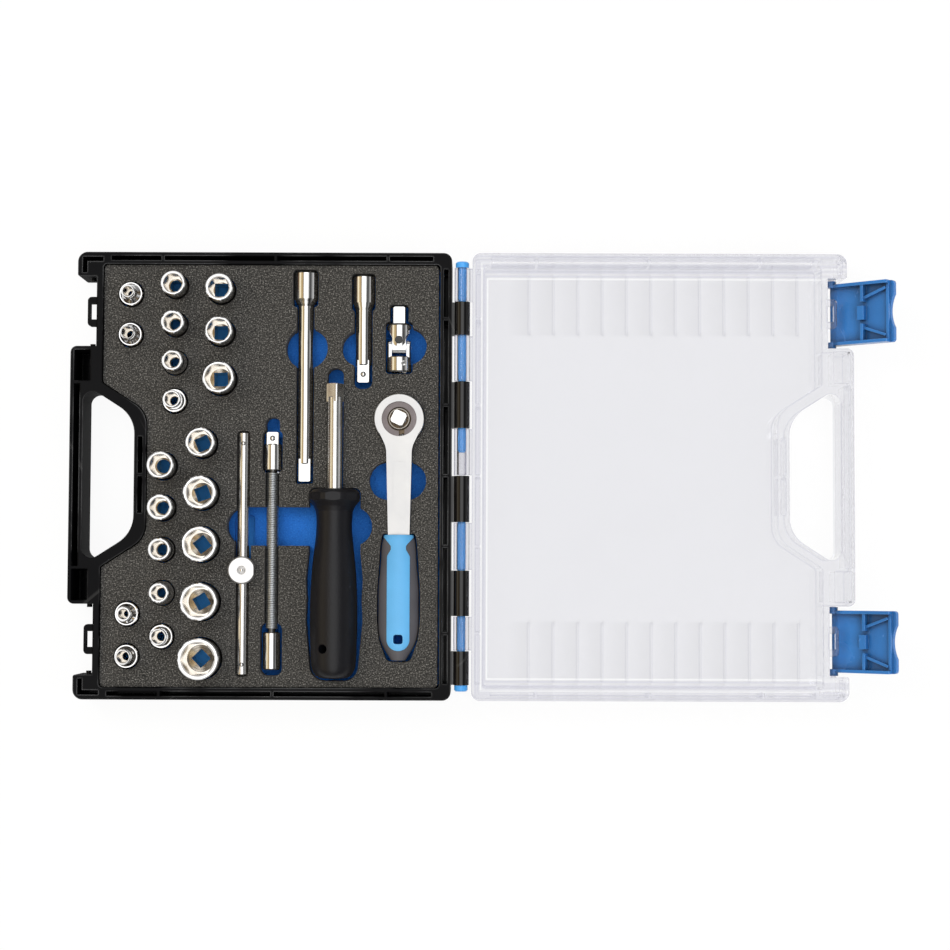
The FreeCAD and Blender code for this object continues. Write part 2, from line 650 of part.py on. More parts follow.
def universal_joint():
    """Two forks about a centre block, from the crossing of their pins, drive end at +Y."""
    x = D.hinge_x - D.joint_reach
    arm_wide = D.joint_arm_out - D.joint_arm_in
    middle = (D.joint_arm_out + D.joint_arm_in) / 2
    pin = D.joint_pin_radius
    body = turned([(D.joint_radius - 0.6, -D.joint_body_far), (D.joint_radius, 0.6 - D.joint_body_far),
                   (D.joint_radius, -D.joint_body_near - 0.5),
                   (D.joint_radius - 0.5, -D.joint_body_near)], "y")
    arm_solids = [body]
    low = -D.joint_offset
    for way in (1, -1):
        long = D.joint_body_near + 1 + low
        arm = box(arm_wide, long, D.joint_arm_half * 2, middle * way, low - long / 2, -D.joint_arm_half)
        start = D.joint_arm_in if way > 0 else -D.joint_arm_out
        boss = rod(D.joint_arm_half, arm_wide, start, low, 0, "x")
        arm_solids.append(common(fuse(arm, boss), rod(D.joint_radius, 12, 0, -10, 0, "y")))
    hole = square_bar(D.drive_square + 0.1, D.joint_recess - 1, 0, -D.joint_body_far - 1, 0, "y")
    side_bore = rod(pin, D.joint_arm_out * 2 + 2, -D.joint_arm_out - 1, low, 0, "x")
    detent = rod(1.1, 10, 2.2, -D.joint_body_far + 4, 1)
    piece("joint_socket_fork", cut(fuse(*arm_solids), hole, side_bore, detent),
          x, D.joint_pin_at, D.joint_height)

    wide = D.joint_block
    block = fuse(span(-wide, wide, low, 0, -wide, wide), rod(wide, wide * 2, -wide, low, 0, "x"),
                 rod(wide, wide * 2, 0, 0, -wide))
    bores = [rod(pin + D.pin_play, 20, 0, 0, -10), rod(pin + D.pin_play, 20, -10, low, 0, "x")]
    piece("joint_block", cut(block, *bores), x, D.joint_pin_at, D.joint_height)

    side = D.joint_arm_out - 0.2
    side_pin = fuse(rod(pin, side, 0, low, 0, "x"), rod(pin, side, -side, low, 0, "x"))
    piece("joint_side_pin", side_pin, x, D.joint_pin_at, D.joint_height)

    arm_thick = D.joint_radius - D.joint_arm_in
    fork = [turned([(D.joint_radius - 0.4, D.joint_disc_near), (D.joint_radius, D.joint_disc_near + 0.5),
                    (D.joint_radius, D.joint_disc_far - 1), (D.joint_radius - 1, D.joint_disc_far)], "y")]
    for way in (1, -1):
        under = D.joint_arm_in if way > 0 else -D.joint_radius
        half = D.joint_arm_half
        far = D.joint_disc_near + 1
        web = plate([(-half, 0), (half, 0), (half, 1.3), (D.joint_radius - 0.2, far),
                     (0.2 - D.joint_radius, far), (-half, 1.3)], under, under + arm_thick)
        boss = rod(half, arm_thick, 0, 0, under)
        fork.append(common(fuse(web, boss), rod(D.joint_radius, far + 5, 0, -5, 0, "y")))
    drive = male_end(size(0), D.joint_disc_far - D.joint_tip)
    put(drive, 0, D.joint_disc_far, 0, (Z_AXIS, 180))
    seat = ball_seat(D.joint_tip - 3.9, -1)
    upright = rod(pin, 20, 0, 0, -10)
    sink = rod(D.joint_pin_head + 0.02, 4, 0, 0, D.joint_arm_out - 0.3)
    piece("joint_drive_fork", cut(fuse(*fork, drive), seat, upright, sink), x, D.joint_pin_at,
          D.joint_height)
    cross = [rod(pin, D.joint_arm_out * 2 + 0.4, 0, 0, -D.joint_arm_out - 0.2),
             rod(D.joint_pin_head, 0.5, 0, 0, D.joint_arm_out - 0.3)]
    piece("joint_cross_pin", fuse(*cross), x, D.joint_pin_at, D.joint_height)
    piece("joint_ball", ball(D.ball_radius, 0, 0, 0), x, D.joint_pin_at + D.joint_tip - 3.9,
          D.joint_height - ball_out())


def lofted(sections, along_offset=0):
    """A smooth handle through ellipses of (offset, half width, half height) along Y."""
    rings = []
    for offset, wide, tall in sections:
        ring = DOC.addObject("Part::Ellipse", "ring")
        bind(ring, "MajorRadius", wide)
        bind(ring, "MinorRadius", tall)
        rings.append(put(ring, 0, size(offset) + along_offset, 0, ALONG["-y"]))
    obj = DOC.addObject("Part::Loft", "handle")
    obj.Sections = rings
    obj.Solid = True
    obj.Ruled = False
    return obj


def spinner():
    """A screwdriver-type handle for the sockets, its square end at +Y."""
    x = D.hinge_x - D.spinner_reach
    height = D.seat + D.collar_flats
    top = D.spinner_top
    end = D.spinner_end
    profile = [
        (D.neck_radius - 0.4, top - 13), (D.neck_radius + 0.35, top - 10.6), (D.neck_radius + 1.5, top - 8.2),
        (D.collar_radius - 0.9, top - 6.2), (D.collar_radius, top - 5.2), (D.collar_radius, top - 2.2),
        (D.collar_radius - 1.9, top - 0.4), (D.collar_radius - 4.4, top),
    ]
    collar = common(turned(profile, "y"), polygon_bar(8, D.collar_flats * 2, 22, 0, top + 2, 0, "-y", 22.5))
    belly = D.spinner_belly
    sections = (
        (top - 7.6, 9.2), (top - 11.5, 8.6), (top - 18, 8.35), (top - 27, 9.1), (top - 37, 10.15),
        (top - 50, 10.9), (top - 68, 10.95), (top - 79, 10.6), (top - 84.5, 9.8), (top - 87.2, 8.0),
        (end, 5.2),
    )
    scale = belly / 10.95
    body = lofted([(offset, scale * radius, scale * (radius - 0.001)) for offset, radius in sections])
    hole = rod(D.hang_hole, 40, 0, D.hang_at, 0)
    put(hole, -8.0, D.hang_at, 17.2, (Y_AXIS, 155))
    bore = rod(D.spinner_shank_radius, 60, 0, top + 1, 0, "-y")
    piece("spinner_grip", cut(fuse(collar, body), hole, bore), x, 0, height)

    stem = top - 55
    start = D.spinner_tip - D.spinner_square
    shank = turned([(D.spinner_shank_radius - 0.5, stem), (D.spinner_shank_radius, stem + 0.5),
                    (D.spinner_shank_radius, start), (D.spinner_shank_radius - 0.8, start + 0.8)], "y")
    drive = male_end(size(0), -D.spinner_square)
    put(drive, 0, start, 0, (Z_AXIS, 180))
    at = D.spinner_tip - 3.6
    angle = D.spinner_turn.value
    piece("spinner_shank", cut(fuse(shank, drive), ball_seat(at, -1)), x, 0, height, (Y_AXIS, angle))
    piece("spinner_ball", ball(D.ball_radius, 0, 0, 0), x - ball_out() * math.sin(math.radians(angle)), at,
          height - ball_out() * math.cos(math.radians(angle)))


def grip_form(rise=0):
    """The ratchet's handle, seen along Y, swollen by the rise."""
    top = D.grip_top
    sections = (
        (top - 1.6, 6.4, 5.2), (top - 4, 7.5, 6.0), (top - 8, 8.1, 6.4), (top - 17, 8.6, 6.55),
        (top - 30, 9.5, 6.65), (top - 41, 9.55, 6.6), (top - 50, 8.7, 6.1), (top - 55, 6.6, 5.0),
        (D.grip_end, 3.4, 2.8),
    )
    return lofted([(offset, size(wide) + rise, size(tall) + rise) for offset, wide, tall in sections])


def panel_outline():
    """The blue inlay: a flared collar, a waist and a long panel with a round end."""
    top = D.grip_top
    half = D.panel_half
    left = [
        (-D.collar_half, top), (-D.collar_half, top - 2.6, 1.5), (-half + 1.8, top - 6.8, 1.5),
        (-half + 1.8, top - 8.6, 1.2), (-half, top - 11.6, 2.5), (-half, D.panel_end, half - 0.1),
    ]
    right = [(-size(p[0]),) + tuple(p[1:]) for p in reversed(left)]
    return left + right


def neck_outline(head_at, play=0):
    """The shank of the ratchet from above, from the flank of its head to its grip."""
    right = [(D.shank_narrow + play, D.shank_end), (D.shank_wide + 0.2 + play, head_at - 13.4, 12),
             (D.head_radius - 1.8 + play, head_at - 4.9)]
    left = [(-size(p[0]),) + tuple(p[1:]) for p in reversed(right)]
    return right + left


def ratchet():
    """A reversible ratchet, drive end up, from the middle of its head's height."""
    x = D.hinge_x - D.ratchet_reach
    z = D.ratchet_height
    head_at = D.head_at
    deep = D.head_half
    disc = turned([(D.head_radius - 1.6, -deep), (D.head_radius, 1.6 - deep), (D.head_radius, deep - 0.4),
                   (D.head_radius - 0.4, deep)])
    put(disc, 0, head_at, 0)
    neck = plate(neck_outline(head_at), -D.shank_half, deep)
    slope = math.degrees(math.atan2(deep.value - D.shank_half.value,
                                    head_at.value - 13 - D.shank_end.value))
    back = 60 * math.cos(math.radians(slope))
    fall = 60 * math.sin(math.radians(slope))

    def above_shank(sunk):
        """All that lies over the sloping upper face of the shank."""
        return box(24, 60, 12, -12, head_at - 13 - back, deep - fall - sunk, (X_AXIS, slope))

    neck = cut(neck, above_shank(0))
    tang = span(-D.tang_half, D.tang_half, D.tang_end, D.shank_end + 1, 0.6 - D.shank_half,
                D.shank_half - 0.6)
    well = rod(D.bore_radius, 20, 0, head_at, D.gear_low - 0.4)
    lever_bore = rod(D.lever_shaft + D.pin_play, 20, 0, head_at, -10)
    pawl_room = span(-3.4, 3.4, head_at - 10.6, head_at, D.gear_low - 0.4, D.gear_high + 0.4)
    mark = plate([(-2.8, head_at - 20), (-2.8, D.shank_end + 12), (2.8, D.shank_end + 6.5),
                  (2.8, head_at - 20)], 0, deep + 1)
    mark = common(mark, above_shank(0.3))
    body = cut(fuse(disc, neck, tang), well, lever_bore, pawl_room, mark)
    piece("ratchet_body", body, x, 0, z)

    stars = []
    tall = D.gear_high - D.gear_low
    for number in range(4):
        stars.append(polygon_bar(6, D.gear_radius * (2 * math.cos(math.pi / 6)), tall, 0, 0, D.gear_low,
                                 "z", number * 15))
    collar = turned([(D.drive_collar, D.gear_high - 1), (D.drive_collar, deep - 0.5),
                     (D.drive_collar - 0.3, deep)])
    collar = cut(collar, rod(D.drive_collar - 0.75, 10, 0, 0, D.gear_high + 0.2))
    tall_square = D.drive_top - D.gear_high
    square = common(common(square_bar(D.male_square, tall_square, 0, 0, D.gear_high),
                           square_bar(over_edges(), tall_square, 0, 0, D.gear_high, "z", 45)),
                    turned([(D.male_square * 0.72, D.gear_high), (D.male_square * 0.72, D.drive_top - 0.9),
                            (D.male_square * 0.6, D.drive_top)]))
    low = D.drive_top - 3.8
    turn = D.drive_turn.value
    angle = math.radians(turn)
    out = ball_out()
    seat = rod(D.ball_radius + 0.02, 4, D.male_square / 2 - D.ball_radius * 1.5, 0, low, "x")
    piece("ratchet_drive_gear", cut(fuse(*stars, collar, square), seat), x, head_at, z, (Z_AXIS, turn))
    piece("ratchet_drive_ball", ball(D.ball_radius, 0, 0, 0), x + out * math.cos(angle),
          head_at + out * math.sin(angle), z + low)

    ring = cut(rod(D.bore_radius - 0.02, D.ring_high - D.ring_low, 0, 0, D.ring_low),
               rod(D.ring_inner, 10, 0, 0, -1), box(2.6, 12, 10, 1.2, -8, 0))
    piece("ratchet_retaining_ring", ring, x, head_at, z)

    bow = cut(span(-3.0, 3.0, -D.bore_radius - 2.2, -D.gear_radius + 1.5, D.gear_low, D.gear_high),
              rod(D.gear_radius + 0.35, 20, 0, 0, -10))
    piece("ratchet_pawl", bow, x, head_at, z)

    under = -deep - 0.3
    lever = [rod(D.lever_radius, D.lever_thick, 0, 0, under - D.lever_thick),
             rod(D.lever_shaft, deep + D.gear_low - 0.4, 0, 0, under - 0.4),
             span(-2.6, 2.6, -D.lever_reach, 0, under - D.lever_thick, under - 0.2)]
    piece("ratchet_reverse_lever", fuse(*lever), x, head_at, z)

    hole = plate(rounded(-D.grip_hole / 2, D.grip_hole / 2, D.grip_hole_at - D.grip_hole / 2,
                         D.grip_hole_at + D.grip_hole / 2, 1.2), -10, 10)
    inlay = plate(panel_outline(), -10, 10)
    slot = span(-D.tang_half, D.tang_half, D.tang_end, D.shank_end + 1, 0.6 - D.shank_half,
                D.shank_half - 0.6)
    sleeve = cut(grip_form(), inlay)
    core = cut(common(grip_form(D.panel_rise), plate(panel_outline(), -10, 10)), hole, slot)
    piece("ratchet_grip_sleeve", sleeve, x, 0, z)
    piece("ratchet_grip_core", core, x, 0, z)


def sliding_bar():
    """A round bar along Y with a drive head that slides on it."""
    x = D.hinge_x - D.bar_reach
    z = D.bar_height
    r = D.bar_radius
    bar = turned([(r - 0.7, D.bar_end), (r, D.bar_end + 0.7), (r, D.bar_top - 0.7),
                  (r - 0.7, D.bar_top)], "y")
    places = (D.bar_top - 5.5, D.bar_end + 5.2)
    seats = [ball(D.ball_radius * 0.9 + 0.02, 0, at, r - 0.7) for at in places]
    piece("bar_rod", cut(bar, *seats), x, 0, z)
    piece("bar_balls", fuse(*[ball(D.ball_radius * 0.9, 0, at, r - 0.7) for at in places]), x, 0, z)

    head = turned([(D.slider_radius - 0.4, D.slider_face), (D.slider_radius, D.slider_face + 0.4),
                   (D.slider_radius, D.slider_high - 0.6), (D.slider_radius - 0.6, D.slider_high)])
    half = D.slider_neck_half
    neck = plate(rounded(-D.slider_neck / 2, D.slider_neck / 2, -half, half, 1.5), D.slider_low,
                 D.slider_face + 1)
    square = square_bar(D.male_square, D.slider_low - D.slider_tip + 2, 0, 0, D.slider_tip)
    flat = span(D.slider_flat, D.slider_flat + 5, -10, 10, -20, 20)
    way = rod(r + 0.06, 30, 0, -15, 0, "y")
    dimple = turned([(D.dimple_radius - 0.75, D.slider_high - 1.0),
                     (D.dimple_radius + 0.25, D.slider_high + 0.1)])
    sunk = D.slider_high - D.ball_radius * 1.1
    seat = ball(D.ball_radius + 0.02, 0, 0, sunk)
    piece("bar_slider", cut(fuse(head, neck, square), flat, way, dimple, seat), x, D.slider_at, z)
    piece("bar_slider_ball", ball(D.ball_radius, 0, 0, 0), x, D.slider_at, z + sunk)


def arc_between(start, tangent_corner, finish):
    """The arc from start to finish whose end tangents meet at the corner."""
    middle = (start + finish) * 0.5
    rise = tangent_corner - middle
    half = (finish - start).Length / 2
    depth = half * math.tan(math.atan2(rise.Length, half) / 2)
    return Part.Arc(start, middle + rise.normalize() * depth, finish)


def helix_arcs(radius, pitch, start, turns):
    """A helix along -Y from start, as two tangent arcs for every half turn."""
    rise = -pitch / (2 * math.pi)

    def point(angle):
        return Vec(radius * math.cos(angle), start + rise * angle, radius * math.sin(angle))

    def tangent(angle):
        return Vec(-radius * math.sin(angle), rise, radius * math.cos(angle)).normalize()

    edges = []
    for number in range(2 * turns):
        a0 = number * math.pi
        a1 = a0 + math.pi
        p0, p1, t0, t1 = point(a0), point(a1), tangent(a0), tangent(a1)
        chord = p1 - p0
        both = t0 + t1
        open_by = 2 * (1 - t0.dot(t1))
        along = chord.dot(both)
        reach = (-along + math.sqrt(along * along + open_by * chord.dot(chord))) / open_by
        q0 = p0 + t0 * reach
        q1 = p1 - t1 * reach
        joint = (q0 + q1) * 0.5
        edges.append(arc_between(p0, q0, joint).toShape())
        edges.append(arc_between(joint, q1, p1).toShape())
    return edges, tangent(0)


def least_gap(edges, wire):
    """Least clear space between neighbouring turns, measured on points along the wire's middle."""
    points = []
    for edge in edges[:24]:
        points.extend(edge.discretize(17)[:-1])
    turn = 4 * 16
    gap = None
    for i, here in enumerate(points):
        for there in points[i + turn // 2:i + turn * 3 // 2]:
            apart = (there - here).Length - wire
            gap = apart if gap is None else min(gap, apart)
    return gap


def flexible_extension():
    """A bendable extension: a square end, a wound shaft and a socket for bits."""
    x = D.hinge_x - D.flex_reach
    z = D.flex_height
    r = D.flex_end_radius
    core_radius = D.winding_outer - D.wire - 0.03
    ferrule = turned([(r - 0.5, D.ferrule_end), (r, D.ferrule_end + 0.5), (r, D.ferrule_top - 0.6),
                      (r - 0.6, D.ferrule_top)], "y")
    drive = male_end(size(0), D.ferrule_top - D.flex_top)
    put(drive, 0, D.ferrule_top, 0, (Z_AXIS, 180))
    at = D.flex_top - 2.9
    seat = rod(D.ball_radius + 0.02, 4, 0, at, D.male_square / 2 - D.ball_radius * 1.5)
    socket_hole = rod(core_radius, 6, 0, D.ferrule_end - 0.5, 0, "y")
    piece("flex_drive_end", cut(fuse(ferrule, drive), seat, socket_hole), x, 0, z)
    across = D.male_square / 2 - D.ball_radius * 0.45
    piece("flex_ball", ball(D.ball_radius, 0, 0, 0), x, at, z + across)

    core = rod(core_radius, D.ferrule_end - D.flex_socket_top + 8)
    piece("flex_core", core, x, D.ferrule_end + 4, z, ALONG["-y"])

    end = turned([(r - 0.6, D.flex_socket_end), (r, D.flex_socket_end + 0.6), (r, D.flex_socket_top - 0.5),
                  (r - 0.5, D.flex_socket_top)], "y")
    bit = polygon_bar(6, D.bit_hex, 11, 0, D.flex_socket_end - 1, 0, "y")
    root = rod(core_radius, 6, 0, D.flex_socket_top + 0.5, 0, "-y")
    piece("flex_socket_end", cut(end, bit, root), x, 0, z)

    wire = D.wire.value
    middle = D.winding_outer.value - wire / 2
    room = D.ferrule_end.value - D.flex_socket_top.value - wire - 0.8
    pitch = D.winding_pitch.value
    turns = int(room / pitch)
    start = D.ferrule_end.value - wire / 2 - 0.4
    edges, heading = helix_arcs(middle, pitch, start, turns)
    ring = Part.Wire(Part.Circle(edges[0].valueAt(edges[0].FirstParameter), heading, wire / 2).toShape())
    print("least gap between winding turns %.2f mm" % least_gap(edges, wire))
    winding = DOC.addObject("Part::Feature", "winding")
    winding.Shape = Part.Wire(edges).makePipeShell([ring], True, False)
    piece("flex_winding", winding, x, 0, z)


def foam_pockets(low, high):
    """Every pocket and finger scoop through the upper foam layer."""
    play = D.pocket_play
    tall = high - low

    def slot(reach, near, far, width, radius, bottom=None):
        """A straight pocket along Y with rounded corners."""
        near, far = sorted((size(near), size(far)), key=lambda s: s.value)
        half = size(width) / 2
        return plate(rounded(-reach - half, half - reach, near, far, radius),
                     low if bottom is None else bottom, high)

    def scoop(reach_low, reach_high, offset, radius):
        """A finger scoop across a tool, round at both ends."""
        return plate(rounded(-reach_high, -reach_low, offset - radius, offset + radius, radius - 0.01),
                     low, high)

    def hole(radius, reach, offset):
        return rod(radius, tall, -reach, offset, low)

    cuts = []
    for name, *_ in SOCKETS:
        cuts.append(hole(socket_room(name), getattr(D, "reach_" + name), getattr(D, "offset_" + name)))

    for top, tip, head, shaft, reach, room in (
        (D.long_top, D.long_tip - 1.2, D.long_head_radius, D.long_shaft_radius, D.long_reach, 1.2),
        (D.short_top, D.short_tip - 3.2, D.short_head_radius, D.short_shaft_radius, D.short_reach, 3.6),
    ):
        cuts.append(slot(reach, top + 0.9, top - D.extension_head - D.extension_taper - 0.8,
                         head * 2 + play * 1.6, 2))
        cuts.append(slot(reach, top - 5, tip, shaft * 2 + play * 2, room))
    cuts.append(hole(D.scoop_round, D.long_scoop_reach, D.tool_scoop_at))
    side = D.short_scoop_reach
    beside = span(-side - 20, -side, D.tool_scoop_at - 20, D.tool_scoop_at + 20, low - 1, high + 1)
    cuts.append(common(hole(D.short_scoop, side, D.tool_scoop_at), beside))

    at = D.joint_pin_at
    cuts.append(slot(D.joint_reach, at + D.joint_tip + 1, at, D.male_square + 2.6, 1.5))
    cuts.append(slot(D.joint_reach, at + D.joint_disc_far + 1, at - D.joint_body_far - 1,
                     D.joint_radius * 2 + play * 2.6, 2))
    cuts.append(hole(D.joint_scoop, D.joint_scoop_reach, D.joint_scoop_at))

    top = D.spinner_top
    reach = D.spinner_reach
    cuts.append(slot(reach, D.spinner_tip + 7.8, top - 2, D.spinner_shank_radius * 2 + play * 1.2, 3.8))
    half = D.spinner_belly + 2.4
    left = [
        (-reach - half + 1.2, top + 0.6, 3), (-reach - half + 1.2, top - 30, 9),
        (-reach - half, top - 42, 9), (-reach - half + 0.5, top - 52, 9),
        (-reach - half, top - 62, 9), (-reach - half + 2.6, D.spinner_end - 1.6, 7),
    ]
    right = [(-reach * 2 - p[0],) + p[1:] for p in reversed(left)]
    cuts.append(plate(left + right, low, high))

    reach = D.ratchet_reach
    snug = D.snug_play
    cuts.append(hole(D.head_radius + snug, reach, D.head_at))
    cuts.append(plate([(p[0] - reach,) + tuple(p[1:]) for p in neck_outline(D.head_at, snug)], low, high))
    top = D.grip_top
    half = D.grip_half + snug + 0.2
    left = [
        (-reach - half + 2.4, top - 0.9, 1.5), (-reach - half + 1.4, top - 7, 6),
        (-reach - half, top - 28, 12), (-reach - half, top - 42, 8), (-reach - half + 1.0, top - 51, 4),
        (-reach - half + 4.6, D.grip_end - 0.7, 3),
    ]
    right = [(-reach * 2 - p[0],) + p[1:] for p in reversed(left)]
    cuts.append(plate(left + right, low, high))
    cuts.append(scoop(D.ratchet_scoop_low, D.ratchet_scoop_high, D.ratchet_scoop_at, D.ratchet_scoop))

    reach = D.bar_reach
    cuts.append(slot(reach, D.bar_top + 0.5, D.bar_end - 0.5, D.bar_radius * 2 + snug * 2, 2,
                     D.bar_height - D.bar_radius - snug))
    cuts.append(slot(reach, D.slider_at - D.slider_neck_half - 0.7, D.shared_scoop_at,
                     D.slider_neck + 1, 1.5))
    cuts.append(scoop(D.shared_scoop_low, D.shared_scoop_high, D.shared_scoop_at, D.shared_scoop))

    reach = D.flex_reach
    end = D.flex_end_radius * 2
    cuts.append(slot(reach, D.flex_top + 7, D.ferrule_top, D.male_square + 0.6, 3.0))
    cuts.append(slot(reach, D.flex_top + 0.8, D.ferrule_end - 1, end + play * 2.4, 2.5))
    cuts.append(slot(reach, D.ferrule_end, D.flex_socket_top, D.winding_outer * 2 + snug * 2.4, 1,
                     D.flex_height - D.winding_outer - snug))
    cuts.append(slot(reach, D.flex_socket_top + 4.5, D.flex_socket_end - 2.8, end + 2.3, 3.5))
    return cuts


def foam():
    """Two foam layers: the lower carries the tools, the upper holds them in its pockets."""
    upper = plate(cavity_outline(D.foam_play, D.foam_hinge_gap), D.foam_mid, D.foam_top)
    piece("foam_top_layer", cut(upper, *foam_pockets(D.foam_mid - 1, D.foam_top + 1)), D.hinge_x)
    lower = plate(cavity_outline(D.foam_play - 0.1), D.floor, D.foam_mid)
    lever_well = rod(D.lever_reach + 1.4, D.foam_mid, -D.ratchet_reach, D.head_at, D.lever_well)
    half = D.male_square / 2 + 1.5
    slider_well = plate(rounded(-D.bar_reach - half, half - D.bar_reach, D.slider_at - 5,
                                D.slider_at + D.slider_travel + 5, 2), D.slider_well, D.foam_mid + 1)
    wells = [rod(socket_room(name), D.foam_mid, -getattr(D, "reach_" + name), getattr(D, "offset_" + name),
                 D.socket_well) for name, *_ in SOCKETS]
    piece("foam_bottom_layer", cut(lower, lever_well, slider_well, *wells), D.hinge_x)


def build():
    case_half("base_shell", None)
    case_half("lid_shell", (Z_AXIS, 180))
    hinge_pin("hinge_pin_upper", 1)
    hinge_pin("hinge_pin_lower", -1)
    latch("latch_upper", 1)
    latch("latch_lower", -1)
    foam()
    sockets()
    extension("extension_long", D.long_top, D.long_tip, D.long_head_radius, D.long_shaft_radius,
              D.long_reach, -1)
    extension("extension_short", D.short_top, D.short_tip, D.short_head_radius, D.short_shaft_radius,
              D.short_reach, 1)
    universal_joint()
    spinner()
    ratchet()
    sliding_bar()
    flexible_extension()
    DOC.recompute()


def check_and_write():
    """Stop on any failed object, then write every sub-part."""
    for obj in DOC.Objects:
        if "Invalid" in obj.State or "Error" in obj.State:
            raise RuntimeError("%s failed: %s" % (obj.Name, obj.State))
    os.makedirs("parts", exist_ok=True)
    for name, obj in PARTS.items():
        shape = obj.Shape
        if shape.isNull() or not shape.isValid() or not shape.Solids:
            raise RuntimeError("%s has no valid solid" % name)
    for name, obj in PARTS.items():
        obj.Shape.exportStep("parts/%s.step" % name)
        print("%s: %d solid(s), %.1f mm3" % (name, len(obj.Shape.Solids), obj.Shape.Volume))


build()
check_and_write()
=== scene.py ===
import math

import bmesh
import bpy
from mathutils import Matrix, Vector


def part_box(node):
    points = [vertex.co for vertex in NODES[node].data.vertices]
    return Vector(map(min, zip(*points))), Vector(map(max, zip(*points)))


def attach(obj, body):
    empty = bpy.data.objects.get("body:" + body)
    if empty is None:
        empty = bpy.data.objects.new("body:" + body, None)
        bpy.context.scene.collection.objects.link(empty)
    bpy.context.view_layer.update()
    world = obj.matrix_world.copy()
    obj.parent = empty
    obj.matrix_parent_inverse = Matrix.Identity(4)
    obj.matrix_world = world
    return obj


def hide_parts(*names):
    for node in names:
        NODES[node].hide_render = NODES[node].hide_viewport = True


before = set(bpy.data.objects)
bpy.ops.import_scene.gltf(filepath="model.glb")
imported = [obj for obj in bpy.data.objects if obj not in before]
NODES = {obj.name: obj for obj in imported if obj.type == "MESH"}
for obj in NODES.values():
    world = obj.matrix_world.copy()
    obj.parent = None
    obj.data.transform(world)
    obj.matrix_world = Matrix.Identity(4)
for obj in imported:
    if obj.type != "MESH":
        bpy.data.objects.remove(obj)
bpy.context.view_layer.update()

MM = 0.001

# The hinge's axis. The base lies on its left, the lid on its right.
HINGE_X = 93 * MM
# A socket's mouth above the socket's middle.
SOCKET_MOUTH = 12.5 * MM
# Just above the floors of the wells that the sockets stand in.
WELL_FLOOR = 5.85 * MM
# The cut edges of the foam are rounded over this far.
FOAM_ROUND = 0.35 * MM

# The flutes in the lid's floor: where they start beyond the hinge, their pitch, how far they run, and how
# far from the middle line their inner ends lie.
FLUTES_FROM, FLUTE_PITCH, FLUTES_LONG, FLUTES_SIDE = 20.2 * MM, 11.71 * MM, 140.5 * MM, 69 * MM

# Painted shade and painted highlight lines along the lid's border, counted inwards from two outlines. Each
# has its distance from the ends and from the hinge side and its half width, in millimetres, and its colour.
RIM_END, RIM_HINGE = 104.7 * MM, 5.66 * MM
PAINTED_SHADE_LAVENDER, PAINTED_HIGHLIGHT_WHITE = (0.70, 0.70, 0.77), (0.97, 0.97, 0.98)
PAINTED_RIM_LINES = ((1.2, 1.0, 0.7, PAINTED_SHADE_LAVENDER), (3.0, 2.2, 0.8, PAINTED_SHADE_LAVENDER), (4.2, 3.5, 0.6, PAINTED_HIGHLIGHT_WHITE),
             (5.6, 4.6, 0.8, PAINTED_SHADE_LAVENDER), (7.6, 5.5, 0.6, PAINTED_SHADE_LAVENDER), (8.9, 6.3, 0.6, PAINTED_HIGHLIGHT_WHITE))

# The colour sockets of a Mix node: factor, both colours, result.
MIX_FACTOR, MIX_A, MIX_B, MIX_RESULT = 0, 6, 7, 2


class Value:
    """A shader socket that joins in Python arithmetic."""

    def __init__(self, paint, socket):
        self.paint = paint
        self.socket = socket

    def __add__(self, other):
        return self.paint.math("ADD", self, other)

    def __radd__(self, other):
        return self.paint.math("ADD", other, self)

    def __sub__(self, other):
        return self.paint.math("SUBTRACT", self, other)

    def __rsub__(self, other):
        return self.paint.math("SUBTRACT", other, self)

    def __mul__(self, other):
        return self.paint.math("MULTIPLY", self, other)

    def __rmul__(self, other):
        return self.paint.math("MULTIPLY", other, self)

    def __pow__(self, other):
        return self.paint.math("POWER", self, other)

    def __abs__(self):
        return self.paint.math("ABSOLUTE", self, 0)


